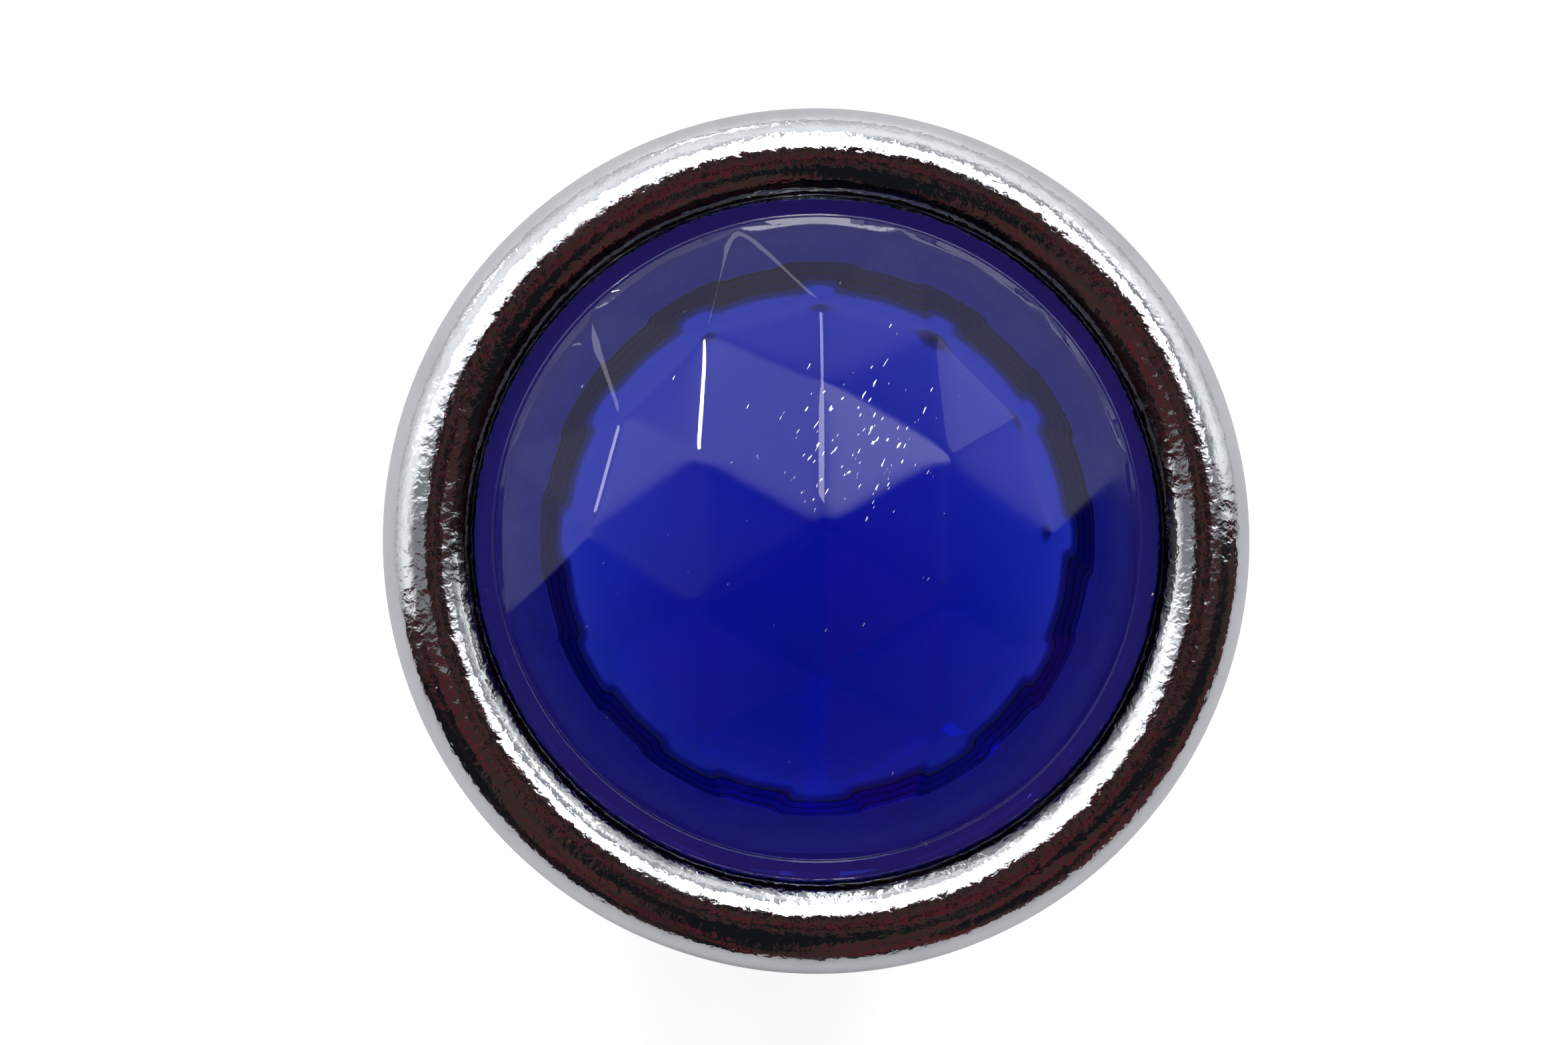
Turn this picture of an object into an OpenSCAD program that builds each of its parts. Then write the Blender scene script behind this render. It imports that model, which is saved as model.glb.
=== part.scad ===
// Panel indicator lamp with a faceted glass jewel in a chromed screw cap.
// Millimetres. The origin is on the axis, where the flange seats on the panel; +Z points out of the jewel.

/* [Cap] */
// Outside diameter of the rounded bead
bezel_d = 25.4; // [25:0.1:27]
// Diameter of the bead's round section
bead_d = 2.88; // [2.8:0.02:3]
// Outside diameter of the skirt behind the bead
skirt_d = 24.2; // [24:0.1:24.8]
// Height of the skirt's rear edge above the panel
skirt_z = 1.4; // [1.3:0.05:1.6]
// Pitch of the cap thread
cap_pitch = 1.0; // [0.9:0.05:1.1]

/* [Jewel] */
// Diameter of the glass flange
jewel_d = 21.2; // [20.8:0.1:21.3]
// Thickness of the glass flange
jewel_flange_h = 1.9; // [1.8:0.05:2.2]
// Diameter across the twelve corners at the foot of the dome
dome_d = 18.74; // [18:0.02:19.4]
// Height of the round step that the dome stands on
foot_lift = 0.6; // [0.4:0.05:0.8]
// Height of the faceted dome above its foot
dome_h = 4.05; // [3.3:0.05:4.6]

/* [Bushing] */
// Diameter of the plain neck that fills the panel hole
neck_d = 17.3; // [17.1:0.05:17.4]
// Length of the plain neck
neck_h = 1.5; // [1.2:0.1:1.8]
// Diameter of the flange in front of the panel
flange_d = 24.0; // [23:0.1:24.8]
// Thickness of the flange
flange_h = 1.15; // [1:0.05:1.2]
// Length of the barrel behind the panel
barrel_h = 11; // [10:0.5:12]
// Pitch of the barrel thread
barrel_pitch = 0.94; // [0.9:0.01:1]

/* [Mounting hardware] */
// Thickness of the panel that the nut is drawn up against
panel_h = 3.0; // [2.4:0.1:3.6]
// Nut size across flats
nut_af = 20.6; // [20:0.1:21.4]
// Nut thickness
nut_h = 2.4; // [2:0.1:3]

/* [Lamp holder] */
// Depth of the frame's web behind the panel
web_depth = 33; // [33:0.5:36]
// Sheet thickness of the frame
sheet = 0.8; // [0.7:0.05:0.9]
// Width of the frame's legs
leg_w = 5; // [4:0.1:5.2]

/* [Lamp] */
// Diameter of the lamp's bulb
bulb_d = 10; // [9.4:0.1:10.2]
// Diameter of the lamp's base
base_d = 9.2; // [9:0.05:9.25]
// Turn that frees the bayonet pins, in degrees
bayonet_turn = 38; // [34:1:42]
// Drop of the pins along the slot's ramp
bayonet_drop = 0.9; // [0.7:0.05:1.1]

/* [Hidden] */
$fn = 96;

// Threads: sides per turn, and a 60 degree profile cut off to this depth
thread_sides = 32;
thread_depth = 0.5;
flank = thread_depth * tan(30);
crest = 0.13;
thread_gap = 0.15;

// Cap thread and the pocket for the glass
boss_r = 11.1;
cap_bore_r = boss_r - thread_depth + thread_gap + 0.05;
boss_top = 4.6;
gasket_h = 0.8;
jewel_z = boss_top + gasket_h;
shelf_z = jewel_z + jewel_flange_h;
bead_r = bead_d / 2;
bead_R = bezel_d / 2 - bead_r;
bead_z = shelf_z - 0.6;
ring_wire_r = 0.3;
ring_R = 10.65;
ring_z = jewel_z - ring_wire_r - 0.05;

// The dome: radius and height of each ring of corners, as shares of the foot radius and the dome height
belt_r = dome_d / 2 * 0.715;
belt_h = dome_h * 0.5546;
crown_r = dome_d / 2 * 0.45;
crown_h = dome_h * 0.8425;

// Barrel and nut thread
barrel_r = neck_d / 2 - 0.05;
nut_bore_r = barrel_r - thread_depth + thread_gap + 0.05;
barrel_bore_r = 7.5;
lip_bore_r = 5.5;
boss_bore_r = 5.95;
mouth_r = 6.6;
mouth_h = 0.4;
gasket_bore_r = 7.1;
gasket_r = 10.15;
lip_z = 2.3;
seat_z = 3.2;
diffuser_h = 1.0;
washer_h = 0.6;
washer_top = -panel_h;
nut_top = washer_top - washer_h;

// Holder: the ring is held in a groove at the barrel's rear end
ring_plate_r = 7.7;
groove_z = -barrel_h + 0.2;
leg_x = 6.9;
web_z = -web_depth;
shell_r = 5.2;
shell_bore_r = 4.75;
shell_top = -15;
shell_floor = web_z + sheet;
eyelet_r = 3.2;
frame_rivet_z = web_z + 9;
frame_lug_end = web_z - 6.5;
live_lug_end = web_z - 7;
lug_h = 0.4;
wire_hole_r = 0.8;

// Contacts, from the lamp's tip down
tip_z = -26;
disc_top = tip_z - 0.5;
disc_h = 0.8;
bush_top = shell_floor + 0.5 + 0.8;
rivet_head_h = 0.5;
spring_wire_r = 0.22;
spring_R = 2.1;
spring_turns = 3.5;

// Lamp
bulb_top = 2;
base_top = -12.3;
base_bottom = -25.3;
pin_z = -18.8;
pin_r = 1;
glass_wall = 0.5;
filament_z = -3.4;
lead_x = 1.7;

// ---------- shapes that repeat ----------

// A point at radius r, angle a and height z
function polar(r, a, z) = [r * cos(a), r * sin(a), z];

// Solid right-hand screw whose ridge runs from r - thread_depth out to r. The ridge is centred on z = 0
// at angle 0, so that two screws of one pitch are always in mesh. grow widens the ridge all round.
module screw(r, pitch, z0, z1, grow = 0) {
    turns = ceil((z1 - z0) / pitch) + 3;
    first = floor(z0 / pitch) - 1;
    steps = turns * thread_sides;
    half = crest / 2 + grow;
    offsets = [-half - flank, -half, half, half + flank];
    radii = [r - thread_depth, r, r, r - thread_depth];
    ridge = [for (i = [0:steps], j = [0:3])
        polar(radii[j], 360 * i / thread_sides, (first + i / thread_sides) * pitch + offsets[j])];
    low = len(ridge);
    high = low + 1;
    points = concat(ridge, [[0, 0, (first - 1) * pitch], [0, 0, (first + turns + 1) * pitch]]);
    last = 4 * steps;
    turn = 4 * thread_sides;
    sides = [for (i = [0:steps - 1], j = [0:2])
        let (a = 4 * i + j) each [[a, a + 1, a + 4], [a + 1, a + 5, a + 4]]];
    roots = [for (i = [0:steps - thread_sides - 1])
        let (a = 4 * i + 3) each [[a, a + turn - 3, a + 4], [a + turn - 3, a + turn + 1, a + 4]]];
    bottom = [for (i = [0:thread_sides - 1]) [low, 4 * i, 4 * i + 4]];
    bottom_step = concat([for (j = [0:2]) [low, j + 1, j]], [[low, turn, 3]]);
    top = [for (i = [steps - thread_sides:steps - 1]) [high, 4 * i + 7, 4 * i + 3]];
    top_step = concat([for (j = [0:2]) [high, last + j, last + j + 1]], [[high, last - turn + 3, last]]);
    intersection() {
        polyhedron(points, concat(sides, roots, bottom, bottom_step, top, top_step));
        translate([0, 0, z0]) cylinder(r = r + 1, h = z1 - z0);
    }
}

// Round wire of radius wire_r along a helix of mean radius R
module coil(wire_r, R, z0, z1, turns, rings_per_turn, sides) {
    rings = ceil(turns * rings_per_turn);
    points = [for (i = [0:rings], j = [0:sides - 1])
        let (a = 360 * turns * i / rings, b = 360 * j / sides)
        polar(R + wire_r * cos(b), a, z0 + (z1 - z0) * i / rings + wire_r * sin(b))];
    walls = [for (i = [0:rings - 1], j = [0:sides - 1])
        let (a = sides * i + j, b = sides * i + (j + 1) % sides)
        each [[a, b, b + sides], [a, b + sides, a + sides]]];
    start_cap = [[for (j = [0:sides - 1]) sides - 1 - j]];
    end_cap = [[for (j = [0:sides - 1]) sides * rings + j]];
    polyhedron(points, concat(walls, start_cap, end_cap));
}

// Flat-ended tube between two heights
module tube(r_out, r_in, z0, z1) {
    translate([0, 0, z0]) difference() {
        cylinder(r = r_out, h = z1 - z0);
        translate([0, 0, -1]) cylinder(r = r_in, h = z1 - z0 + 2);
    }
}

// Disc between two heights
module disc(r, z0, z1) {
    translate([0, 0, z0]) cylinder(r = r, h = z1 - z0);
}

// ---------- cap ----------

module bezel_section() {
    difference() {
        union() {
            translate([bead_R, bead_z]) circle(r = bead_r);
            polygon([[cap_bore_r - 0.6, skirt_z], [skirt_d / 2 - 0.2, skirt_z],
                     [skirt_d / 2, skirt_z + 0.2], [skirt_d / 2, bead_z], [cap_bore_r - 0.6, bead_z]]);
        }
        translate([0, skirt_z - 1]) square([cap_bore_r, shelf_z - skirt_z + 1]);
        translate([ring_R, ring_z]) circle(r = ring_wire_r + 0.05);
    }
}

module bezel() {
    color("#c9ccd0") difference() {
        rotate_extrude() bezel_section();
        screw(boss_r + thread_gap, cap_pitch, skirt_z - 1, boss_top, 0.08);
        translate([0, 0, skirt_z - 0.01])
            cylinder(r1 = boss_r + 0.35, r2 = cap_bore_r - 0.1, h = 0.65);
    }
}

// Twelve foot corners, twelve belt corners, six crown corners, the tip, and twelve corners sunk in the flange
module dome() {
    foot = [for (i = [0:11]) polar(dome_d / 2, 30 * i + 15, 0)];
    belt = [for (i = [0:11]) polar(belt_r, 30 * i, belt_h)];
    crown = [for (i = [0:5]) polar(crown_r, 60 * i, crown_h)];
    sunk = [for (i = [0:11]) polar(dome_d / 2, 30 * i + 15, -foot_lift - 0.2)];
    points = concat(foot, belt, crown, [[0, 0, dome_h]], sunk);
    lower = [for (i = [0:11])
        let (n = (i + 1) % 12) each [[i, 12 + i, 12 + n], [i, 12 + n, n]]];
    upper = [for (k = [0:5])
        let (c = 24 + k, d = 24 + (k + 1) % 6, b = 12 + 2 * k, before = 12 + (2 * k + 11) % 12)
        each [[b, c, b + 1], [before, c, b], [c, d, b + 1], [c, 30, d]]];
    walls = [for (i = [0:11]) let (n = (i + 1) % 12) [i, n, 31 + n, 31 + i]];
    polyhedron(points, concat(lower, upper, walls, [[for (i = [0:11]) 31 + i]]));
}

module jewel() {
    color("#1a2fae") union() {
        rotate([0, 0, 90]) translate([0, 0, shelf_z + foot_lift]) dome();
        translate([0, 0, jewel_z + 0.2]) cylinder(r = jewel_d / 2, h = jewel_flange_h - 0.2);
        translate([0, 0, jewel_z]) cylinder(r1 = jewel_d / 2 - 0.2, r2 = jewel_d / 2, h = 0.2);
        translate([0, 0, jewel_z + 0.2]) cylinder(r = dome_d / 2 + 0.07, h = jewel_flange_h - 0.2 + foot_lift);
    }
}

module snap_ring() {
    color("#8d9094") translate([0, 0, ring_z]) rotate([0, 0, 96]) rotate_extrude(angle = 348)
        translate([ring_R, 0]) circle(r = ring_wire_r, $fn = 32);
}

module gasket() {
    color("#cdc8bd") tube(gasket_r, gasket_bore_r, boss_top, jewel_z);
}

module diffuser() {
    color("#eef1f4") union() {
        disc(boss_bore_r - 0.08, seat_z, seat_z + diffuser_h - 0.15);
        translate([0, 0, seat_z + diffuser_h - 0.15])
            cylinder(r1 = boss_bore_r - 0.08, r2 = boss_bore_r - 0.23, h = 0.15);
    }
}

// ---------- bushing and mounting hardware ----------

module bushing_section() {
    polygon([[lip_bore_r - 0.5, -barrel_h], [barrel_r - 0.7, -barrel_h], [barrel_r - 0.6, -barrel_h + 0.1],
             [barrel_r - 0.6, -neck_h], [neck_d / 2, -neck_h], [neck_d / 2, 0],
             [flange_d / 2 - 0.15, 0], [flange_d / 2, 0.15], [flange_d / 2, flange_h - 0.15],
             [flange_d / 2 - 0.15, flange_h], [boss_r - 0.6, flange_h], [boss_r - 0.6, boss_top - 0.15],
             [boss_r - 0.75, boss_top], [lip_bore_r - 0.5, boss_top]]);
}

module bushing() {
    color("#bdb7a6") difference() {
        union() {
            rotate_extrude() bushing_section();
            screw(barrel_r, barrel_pitch, -barrel_h + 0.3, -neck_h + 0.4);
            screw(boss_r, cap_pitch, flange_h + 0.55, boss_top - 0.25);
        }
        disc(barrel_bore_r - 0.05, -barrel_h - 1, 0);
        disc(ring_plate_r + 0.05, groove_z, groove_z + sheet);
        disc(barrel_bore_r, -2, lip_z);
        disc(lip_bore_r, 0, boss_top + 1);
        disc(boss_bore_r, seat_z, boss_top + 1);
        translate([0, 0, boss_top - mouth_h])
            cylinder(r1 = boss_bore_r, r2 = 2 * mouth_r - boss_bore_r, h = 2 * mouth_h);
    }
}

module lock_washer() {
    teeth = 16;
    color("#7d7f80") difference() {
        disc(11.1, washer_top - washer_h, washer_top);
        disc(9.5, washer_top - washer_h - 1, washer_top + 1);
    }
    color("#7d7f80") for (i = [0:teeth - 1])
        rotate([0, 0, 360 * i / teeth]) translate([9.25, 0, washer_top - washer_h / 2]) rotate([10, 0, 0])
            cube([0.8, 1.5, 0.3], center = true);
}

module mounting_nut() {
    corner_r = nut_af / 2 / cos(30);
    face_r = nut_af / 2 - 0.1;
    color("#b9b39f") difference() {
        intersection() {
            translate([0, 0, nut_top - nut_h]) cylinder(r = corner_r, h = nut_h, $fn = 6);
            translate([0, 0, nut_top - nut_h])
                cylinder(r1 = face_r, r2 = face_r + nut_h / tan(30), h = nut_h);
        }
        disc(nut_bore_r, nut_top - nut_h - 1, nut_top + 1);
        screw(barrel_r + thread_gap, barrel_pitch, nut_top - nut_h - 1, nut_top + 1, 0.08);
    }
}

// ---------- lamp holder ----------

// Half of the frame's outline seen along Y: a leg that bends into the web
module leg_outline() {
    outer = 1.4;
    inner = outer - sheet;
    translate([leg_x - sheet, web_z + outer]) square([sheet, groove_z - web_z - outer + sheet / 2]);
    translate([0, web_z]) square([leg_x - outer, sheet]);
    difference() {
        intersection() {
            translate([leg_x - outer, web_z + outer]) circle(r = outer);
            translate([leg_x - outer, web_z]) square(outer);
        }
        translate([leg_x - outer, web_z + outer]) circle(r = inner);
    }
}

module holder_frame() {
    color("#a9abab") difference() {
        union() {
            for (side = [0, 180]) rotate([0, 0, side]) rotate([90, 0, 0])
                translate([0, 0, -leg_w / 2]) linear_extrude(leg_w) leg_outline();
            disc(6, web_z, web_z + sheet);
            tube(ring_plate_r, 5.75, groove_z, groove_z + sheet);
        }
        disc(eyelet_r + 0.05, web_z - 1, web_z + sheet + 1);
        translate([-leg_x - 1, 0, frame_rivet_z]) rotate([0, 90, 0])
            cylinder(r = 0.65, h = 2 * leg_x + 2);
    }
}

// Room for one bayonet pin, cut straight through the wall midway between the pin's two places:
// down from the mouth, then up a ramp to its seat
module pin_slot() {
    room = pin_r + 0.3;
    half = room - 0.04;
    reach = shell_r * sin(bayonet_turn / 2);
    slope = atan2(bayonet_drop, 2 * reach);
    low_z = pin_z - bayonet_drop;
    translate([3.5, 0, 0]) rotate([90, 0, 90]) linear_extrude(3) union() {
        translate([-reach, pin_z]) circle(r = room);
        translate([reach, low_z]) circle(r = room);
        translate([-reach, pin_z]) rotate(-slope) translate([0, -half])
            square([2 * reach / cos(slope), 2 * half]);
        translate([reach - half, low_z]) square([2 * half, shell_top + 1 - low_z]);
    }
}

module socket_section() {
    inside = shell_floor + 0.5;
    neck_bore_r = eyelet_r - 0.4;
    polygon([[neck_bore_r, web_z - 0.35], [eyelet_r + 0.7, web_z - 0.35], [eyelet_r + 0.7, web_z],
             [eyelet_r, web_z], [eyelet_r, shell_floor], [shell_r, shell_floor],
             [shell_r, shell_top - 0.5], [shell_r + 0.35, shell_top], [shell_bore_r + 0.35, shell_top],
             [shell_bore_r, shell_top - 0.5], [shell_bore_r, inside], [neck_bore_r, inside]]);
}

module socket_shell() {
    color("#c2bda9") difference() {
        rotate_extrude() socket_section();
        for (side = [0, 180]) rotate([0, 0, 90 + bayonet_turn / 2 + side]) pin_slot();
    }
}

module insulator_bush() {
    color("#7a2f1c") difference() {
        union() {
            disc(4.6, bush_top - 0.8, bush_top);
            disc(eyelet_r - 0.45, web_z - 0.4, bush_top);
        }
        disc(0.85, web_z - 1, bush_top + 1);
    }
}

module insulator_washer() {
    color("#7a2f1c") tube(4.4, 0.85, web_z - 1.2, web_z - 0.4);
}

module live_rivet() {
    color("#c7a04a") union() {
        disc(2.5, bush_top, bush_top + rivet_head_h);
        disc(0.8, web_z - 1.9, bush_top + 0.1);
        translate([0, 0, web_z - 2]) cylinder(r1 = 1.2, r2 = 1.5, h = 0.4);
    }
}

// Solder tail: a blade that hangs at x, with rounded end and a wire hole
module lug_blade(x, width, top, end) {
    translate([x, 0, 0]) rotate([90, 0, 90]) linear_extrude(lug_h) difference() {
        union() {
            translate([-width / 2, end + width / 2]) square([width, top - end - width / 2]);
            translate([0, end + width / 2]) circle(d = width);
        }
        translate([0, end + width / 2]) circle(r = wire_hole_r);
    }
}

module live_terminal() {
    blade_x = -3.6;
    color("#b7b2a0") union() {
        difference() {
            union() {
                disc(2.2, web_z - 1.2 - lug_h, web_z - 1.2);
                translate([blade_x, -1.6, web_z - 1.2 - lug_h]) cube([-blade_x, 3.2, lug_h]);
            }
            disc(0.85, web_z - 3, web_z);
        }
        lug_blade(blade_x, 3.2, web_z - 1.2, live_lug_end);
    }
}

module frame_terminal() {
    color("#b7b2a0") difference() {
        lug_blade(leg_x, 3.4, frame_rivet_z + 2, frame_lug_end);
        translate([leg_x - 1, 0, frame_rivet_z]) rotate([0, 90, 0]) cylinder(r = 0.65, h = 3);
    }
}

module frame_rivet() {
    color("#c7a04a") translate([leg_x - sheet, 0, frame_rivet_z]) rotate([0, 90, 0]) union() {
        cylinder(r = 0.6, h = sheet + lug_h + 0.1);
        translate([0, 0, -0.3]) cylinder(r = 1.1, h = 0.3);
        translate([0, 0, sheet + lug_h]) cylinder(r1 = 1.1, r2 = 0.8, h = 0.35);
    }
}

// ---------- sprung contact ----------

module contact_disc() {
    color("#7a2f1c") tube(4.6, 1.05, disc_top - disc_h, disc_top);
}

module contact_button() {
    color("#c7a04a") union() {
        disc(1, disc_top - disc_h - 0.1, disc_top + 0.1);
        translate([0, 0, disc_top]) cylinder(r1 = 1.7, r2 = 1.2, h = tip_z - disc_top);
        disc(2.4, disc_top - disc_h - 0.3, disc_top - disc_h);
    }
}

module contact_spring() {
    top = disc_top - disc_h - 0.3 - spring_wire_r;
    bottom = bush_top + rivet_head_h + spring_wire_r;
    color("#9a9c9e") coil(spring_wire_r, spring_R, bottom, top, spring_turns, 20, 8);
}

// ---------- lamp ----------

module bulb_outline(inset) {
    r = bulb_d / 2 - inset;
    neck_r = base_d / 2 - 0.45 - inset;
    floor_z = base_top - 1.5 + inset;
    dome_z = bulb_top - bulb_d / 2;
    polygon([[0, floor_z], [neck_r, floor_z], [neck_r, base_top + 0.6], [r, base_top + 2.2],
             [r, dome_z], [0, dome_z]]);
    translate([0, dome_z]) intersection() {
        circle(r = r);
        square(r);
    }
}

module lamp_glass() {
    color("#dfe8ea", 0.4) rotate_extrude() difference() {
        bulb_outline(0);
        bulb_outline(glass_wall);
    }
}

module lamp_base() {
    wall = 0.3;
    color("#c9a24c") difference() {
        union() {
            disc(base_d / 2, base_bottom + 0.3, base_top);
            translate([0, 0, base_bottom]) cylinder(r1 = base_d / 2 - 0.4, r2 = base_d / 2, h = 0.3);
        }
        disc(base_d / 2 - wall, base_bottom + 0.9, base_top + 1);
        disc(3, base_bottom - 1, base_bottom + 2);
        for (side = [90, 270]) rotate([0, 0, side]) translate([0, 0, pin_z]) rotate([0, 90, 0])
            cylinder(r = pin_r + 0.02, h = base_d);
    }
}

module lamp_pins() {
    color("#d2b060") for (side = [90, 270]) rotate([0, 0, side])
        translate([base_d / 2 - 0.6, 0, pin_z]) rotate([0, 90, 0]) union() {
            cylinder(r = pin_r, h = 1.35);
            translate([0, 0, 1.35]) cylinder(r1 = pin_r, r2 = pin_r - 0.15, h = 0.15);
        }
}

module lamp_insulator() {
    color("#17181c") difference() {
        union() {
            disc(2.98, base_bottom, base_bottom + 0.9);
            translate([0, 0, base_bottom - 0.3]) cylinder(r1 = 2.2, r2 = 2.98, h = 0.3);
        }
        disc(1.15, base_bottom - 1, base_bottom + 2);
    }
}

module lamp_tip() {
    color("#a7a9ab") union() {
        disc(1.1, base_bottom - 0.35, base_bottom + 0.9);
        translate([0, 0, tip_z]) cylinder(r1 = 1.1, r2 = 1.6, h = base_bottom - 0.3 - tip_z);
    }
}

module lamp_bead() {
    color("#9fb3b8") translate([0, 0, -7]) rotate([0, 90, 0]) difference() {
        translate([0, 0, -2.3]) cylinder(r = 0.7, h = 4.6);
        for (x = [-lead_x, lead_x]) translate([0, 0, x]) rotate([0, 90, 0])
            cylinder(r = 0.17, h = 4, center = true);
    }
}

module lamp_leads() {
    foot_z = base_top - 1;
    color("#8b8d8f") for (x = [-lead_x, lead_x]) translate([x, 0, foot_z]) union() {
        cylinder(r = 0.16, h = filament_z - foot_z, $fn = 24);
        translate([0, 0, filament_z - foot_z]) sphere(r = 0.24, $fn = 24);
    }
}

module filament() {
    reach = lead_x - 0.28;
    color("#6c6a66") translate([0, 0, filament_z]) rotate([0, 90, 0])
        coil(0.07, 0.3, -reach, reach, 9, 10, 6);
}

bezel();
jewel();
snap_ring();
gasket();
diffuser();
bushing();
lock_washer();
mounting_nut();
holder_frame();
socket_shell();
insulator_bush();
insulator_washer();
live_rivet();
live_terminal();
frame_terminal();
frame_rivet();
contact_disc();
contact_button();
contact_spring();
lamp_glass();
lamp_base();
lamp_pins();
lamp_insulator();
lamp_tip();
lamp_bead();
lamp_leads();
filament();
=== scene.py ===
import math

import bmesh
import bpy
from mathutils import Matrix, Vector, noise


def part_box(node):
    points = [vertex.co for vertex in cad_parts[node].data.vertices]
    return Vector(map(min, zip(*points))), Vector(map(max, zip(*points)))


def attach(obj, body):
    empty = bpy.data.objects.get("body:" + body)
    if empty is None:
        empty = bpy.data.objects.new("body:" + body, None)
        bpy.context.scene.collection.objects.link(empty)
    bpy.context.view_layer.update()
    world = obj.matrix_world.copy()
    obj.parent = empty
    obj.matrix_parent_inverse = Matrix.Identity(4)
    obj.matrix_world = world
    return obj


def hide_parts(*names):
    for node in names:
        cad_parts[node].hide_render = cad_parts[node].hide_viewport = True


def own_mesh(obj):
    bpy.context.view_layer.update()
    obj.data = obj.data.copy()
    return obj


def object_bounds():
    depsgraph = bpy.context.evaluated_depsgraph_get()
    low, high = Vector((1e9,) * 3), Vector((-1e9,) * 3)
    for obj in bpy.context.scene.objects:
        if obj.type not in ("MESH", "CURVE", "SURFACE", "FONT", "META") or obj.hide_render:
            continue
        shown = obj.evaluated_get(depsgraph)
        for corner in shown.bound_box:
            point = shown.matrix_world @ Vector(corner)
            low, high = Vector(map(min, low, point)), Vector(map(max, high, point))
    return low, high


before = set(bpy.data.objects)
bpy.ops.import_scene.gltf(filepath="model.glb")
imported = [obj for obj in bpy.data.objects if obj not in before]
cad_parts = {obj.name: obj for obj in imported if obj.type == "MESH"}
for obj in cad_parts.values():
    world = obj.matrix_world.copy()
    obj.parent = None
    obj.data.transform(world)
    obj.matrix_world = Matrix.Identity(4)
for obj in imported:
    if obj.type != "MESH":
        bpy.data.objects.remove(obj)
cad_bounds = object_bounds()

MM = 0.001
TURN = 2 * math.pi

# ---------------------------------------------------------------------------
# Driving sizes in millimetres. The rest comes from the frame's boxes.
# ---------------------------------------------------------------------------
BEAD_RADIUS = 1.44
LIP_HEIGHT = 7.3
CAP_WALL_RADIUS = 12.1
CAP_BORE_RADIUS = 10.8
CAP_THREAD = {"core": 10.80, "crest": 11.25, "pitch": 1.0}
CAP_THREAD_TOP = 4.6
SNAP_RING_RADIUS, SNAP_RING_WIRE = 10.65, 0.3
BOSS_THREAD = {"core": 10.50, "crest": 11.10, "pitch": 1.0}
BARREL_THREAD = {"core": 8.10, "crest": 8.60, "pitch": 0.94}
NUT_THREAD = {"core": 8.30, "crest": 8.75, "pitch": 0.94}
# The jewel's rings of facet corners, from the foot of the dome up
FOOT_RADIUS, FOOT_Z = 9.37, 7.9
BELT_RADIUS, BELT_Z = 6.70, 10.146
CROWN_RADIUS, CROWN_Z = 4.217, 11.312
GASKET_BORE = 7.1
LIP_BORE = 5.5
# Top of the bushing's inner lip, where the diffuser sits, and the z where the boss thread starts
LIP_TOP = 3.2
BOSS_FOOT = 1.7
# Radii of the three small steps in the bushing's mouth
MOUTH_STEPS = (5.95, 6.28, 6.60)
# Gap left between faces that touch, so that neither shows through the other
SKIN = 0.02
# Mesh steps along a facet's side, and how tightly the facets meet: a higher value gives a sharper edge
FACET_STEPS = 22
EDGE_SHARPNESS = 46.0

# Strength of the painted glow on the opal disc, standing in for light from behind through the holder, and of
# the painted glow on the gasket
OPAL_PAINTED_GLOW = 0.60
RUBBER_PAINTED_GLOW = 0.12


def reach(node):
    """The node's outer radius and its lowest and highest z, in millimetres."""
    low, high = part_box(node)
    return max(high.x, -low.x) / MM, low.z / MM, high.z / MM


# ---------------------------------------------------------------------------
# Mesh helpers
# ---------------------------------------------------------------------------
def softened(corners, cut=0.08, steps=4):
    """A closed outline with its corners rounded off over cut, or over a corner's own third number."""
    outline = []
    count = len(corners)
    for i, corner in enumerate(corners):
        here = Vector(corner[:2])
        back = Vector(corners[i - 1][:2]) - here
        ahead = Vector(corners[(i + 1) % count][:2]) - here
        size = corner[2] if len(corner) > 2 else cut
        size = min(size, 0.45 * back.length, 0.45 * ahead.length)
        if size < 1e-4:
            outline.append(tuple(here))
            continue
        first, last = here + back.normalized() * size, here + ahead.normalized() * size
        for k in range(steps + 1):
            t = k / steps
            outline.append(tuple(first * (1 - t) ** 2 + here * 2 * t * (1 - t) + last * t * t))
    return outline


def arc(centre, radius, start, end, steps):
    """Points along an arc in the r-z plane, angles in degrees from the outward direction."""
    points = []
    for k in range(steps + 1):
        a = math.radians(start + (end - start) * k / steps)
        points.append((centre[0] + radius * math.cos(a), centre[1] + radius * math.sin(a)))
    return points


def finish_mesh(name, bm, body, material, replaced, sharp=32, weighted=True):
    """Turns a bmesh in millimetres into a piece in metres, with its body, material and replaced nodes."""
    bmesh.ops.remove_doubles(bm, verts=bm.verts, dist=2e-4)
    bmesh.ops.dissolve_degenerate(bm, edges=bm.edges, dist=1e-5)
    bmesh.ops.recalc_face_normals(bm, faces=bm.faces)
    bmesh.ops.scale(bm, vec=(MM, MM, MM), verts=bm.verts)
    mesh = bpy.data.meshes.new(name)
    bm.to_mesh(mesh)
    bm.free()
    mesh.shade_smooth()
    mesh.set_sharp_from_angle(angle=math.radians(sharp))
    piece = bpy.data.objects.new(name, mesh)
    bpy.context.scene.collection.objects.link(piece)
    mesh.materials.append(MATERIALS[material])
    if weighted:
        modifier = piece.modifiers.new("even_shading", "WEIGHTED_NORMAL")
        modifier.weight = 80
        modifier.keep_sharp = True
    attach(piece, body)
    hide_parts(*replaced)
    return piece


def add_grid(bm, rows):
    """Joins rows of points into faces. Every row has the same number of points."""
    made = [[bm.verts.new(p) for p in row] for row in rows]
    for lower, upper in zip(made, made[1:]):
        for j in range(len(lower) - 1):
            bm.faces.new((lower[j], lower[j + 1], upper[j + 1], upper[j]))
    return made


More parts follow.
